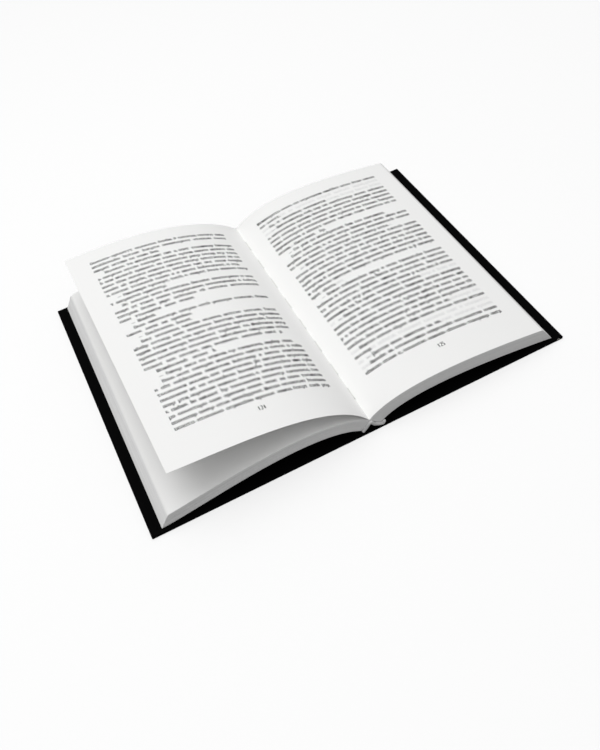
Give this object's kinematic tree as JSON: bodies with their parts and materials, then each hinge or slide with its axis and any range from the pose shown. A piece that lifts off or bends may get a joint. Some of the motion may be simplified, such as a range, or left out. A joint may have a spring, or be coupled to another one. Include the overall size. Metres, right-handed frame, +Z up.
{
  "type": "hardback book",
  "caption": "Hardback book lying open on its covers, pages arched each side of the gutter, with a single leaf lifted above the left-hand pages.",
  "frame": {"origin": "bottom centre of the open book: the middle of the spine, on the surface it lies on", "axes": "+X across the open covers towards the back cover, +Y towards the head of the pages, +Z up"},
  "size_m": [0.285, 0.207, 0.0512],
  "materials": {
    "page_paper": "uncoated book paper",
    "endpaper": "matt black",
    "bookcloth": "matt black covering",
    "greyboard": "raw board",
    "band": "woven cotton",
    "gauze": "glued gauze",
    "thread": "sewing thread"
  },
  "bodies": {
    "page_block": {"text_block": "page_paper", "front_flyleaf": "endpaper", "back_flyleaf": "endpaper", "headband": "band", "tailband": "band", "spine_lining": "gauze", "sewing_thread": "thread", "spine_strip": "greyboard", "spine_cloth": "bookcloth"},
    "front_cover": {"front_board": "greyboard", "front_cover_cloth": "bookcloth", "front_pastedown": "endpaper"},
    "back_cover": {"back_board": "greyboard", "back_cover_cloth": "bookcloth", "back_pastedown": "endpaper"}
  },
  "joints": [
    {"name": "front_cover_hinge", "type": "hinge", "parent": "page_block", "child": "front_cover", "pos_m": [-0.0136, 0, 0.0008], "axis": [0, -1, 0], "range_deg": [0, 90]},
    {"name": "back_cover_hinge", "type": "hinge", "parent": "page_block", "child": "back_cover", "pos_m": [0.0136, 0, 0.0008], "axis": [0, 1, 0], "range_deg": [0, 90]}
  ]
}
